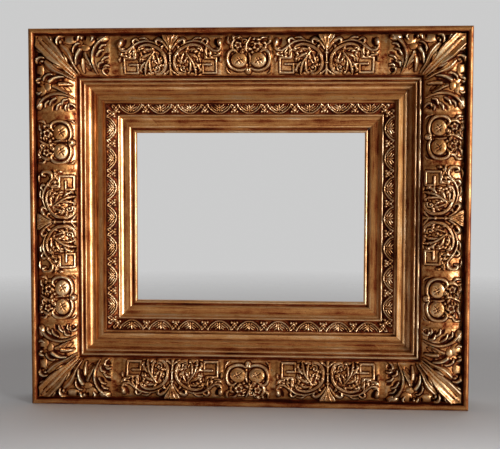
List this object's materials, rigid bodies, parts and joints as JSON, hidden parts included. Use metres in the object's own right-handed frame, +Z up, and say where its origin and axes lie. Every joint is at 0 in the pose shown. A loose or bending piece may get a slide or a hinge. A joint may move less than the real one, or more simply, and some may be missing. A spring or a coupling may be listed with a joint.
{
  "type": "ornate gilded picture frame",
  "caption": "Deep rectangular picture frame of gilded mitred mouldings with cast scroll, fan and leaf ornament, an inner moulding with a picture rebate, hanging rings and turn buttons.",
  "frame": {"origin": "middle of the box that holds the frame and its rear fittings, at the level of the lower edge", "axes": "+X along the width, to the right seen from the front; +Y from the front to the back; +Z up along the height"},
  "size_m": [0.547, 0.0696, 0.471],
  "materials": {
    "gilded_wood": "aged gilding over red-brown ground",
    "gilded_ornament": "aged gilding, dark in the hollows",
    "dull_steel": "dull zinc plated steel",
    "aged_brass": "aged brass"
  },
  "bodies": {
    "frame": {"outer_rail_top": "gilded_wood", "outer_rail_right": "gilded_wood", "outer_rail_bottom": "gilded_wood", "outer_rail_left": "gilded_wood", "inner_rail_top": "gilded_wood", "inner_rail_right": "gilded_wood", "inner_rail_bottom": "gilded_wood", "inner_rail_left": "gilded_wood", "corner_leaf_upper_left": "gilded_ornament", "corner_leaf_upper_right": "gilded_ornament", "corner_leaf_lower_right": "gilded_ornament", "corner_leaf_lower_left": "gilded_ornament", "fan_top_left": "gilded_ornament", "fan_top_right": "gilded_ornament", "fan_bottom_left": "gilded_ornament", "fan_bottom_right": "gilded_ornament", "fan_left": "gilded_ornament", "fan_right": "gilded_ornament", "cartouche_top": "gilded_ornament", "cartouche_bottom": "gilded_ornament", "cartouche_left_lower": "gilded_ornament", "cartouche_left_upper": "gilded_ornament", "cartouche_right_lower": "gilded_ornament", "cartouche_right_upper": "gilded_ornament", "leaf_band_top": "gilded_ornament", "leaf_band_right": "gilded_ornament", "leaf_band_bottom": "gilded_ornament", "leaf_band_left": "gilded_ornament", "outer_corner_nails": "dull_steel", "inner_corner_nails": "dull_steel", "mending_plates": "dull_steel", "hanger_strap_left": "aged_brass", "hanger_strap_right": "aged_brass", "turn_button_screws": "aged_brass", "hanger_screws": "aged_brass", "plate_screws": "dull_steel"},
    "hanger_ring_left": {"hanger_ring_left": "aged_brass"},
    "hanger_ring_right": {"hanger_ring_right": "aged_brass"},
    "turn_button_top": {"turn_button_top": "aged_brass"},
    "turn_button_right": {"turn_button_right": "aged_brass"},
    "turn_button_bottom": {"turn_button_bottom": "aged_brass"},
    "turn_button_left": {"turn_button_left": "aged_brass"}
  },
  "joints": [
    {"name": "hanger_ring_left_swing", "type": "hinge", "parent": "frame", "child": "hanger_ring_left", "pos_m": [-0.2335, 0.0323, 0.321], "axis": [0, 0, 1], "range_deg": [0, 165]},
    {"name": "hanger_ring_right_swing", "type": "hinge", "parent": "frame", "child": "hanger_ring_right", "pos_m": [0.2335, 0.0323, 0.321], "axis": [0, 0, -1], "range_deg": [0, 165]},
    {"name": "turn_button_top_turn", "type": "hinge", "parent": "frame", "child": "turn_button_top", "pos_m": [0, 0.03097, 0.3585], "axis": [0, 1, 0], "continuous": true},
    {"name": "turn_button_right_turn", "type": "hinge", "parent": "frame", "child": "turn_button_right", "pos_m": [0.161, 0.03097, 0.2355], "axis": [0, 1, 0], "continuous": true},
    {"name": "turn_button_bottom_turn", "type": "hinge", "parent": "frame", "child": "turn_button_bottom", "pos_m": [0, 0.03097, 0.1125], "axis": [0, 1, 0], "continuous": true},
    {"name": "turn_button_left_turn", "type": "hinge", "parent": "frame", "child": "turn_button_left", "pos_m": [-0.161, 0.03097, 0.2355], "axis": [0, 1, 0], "continuous": true}
  ]
}
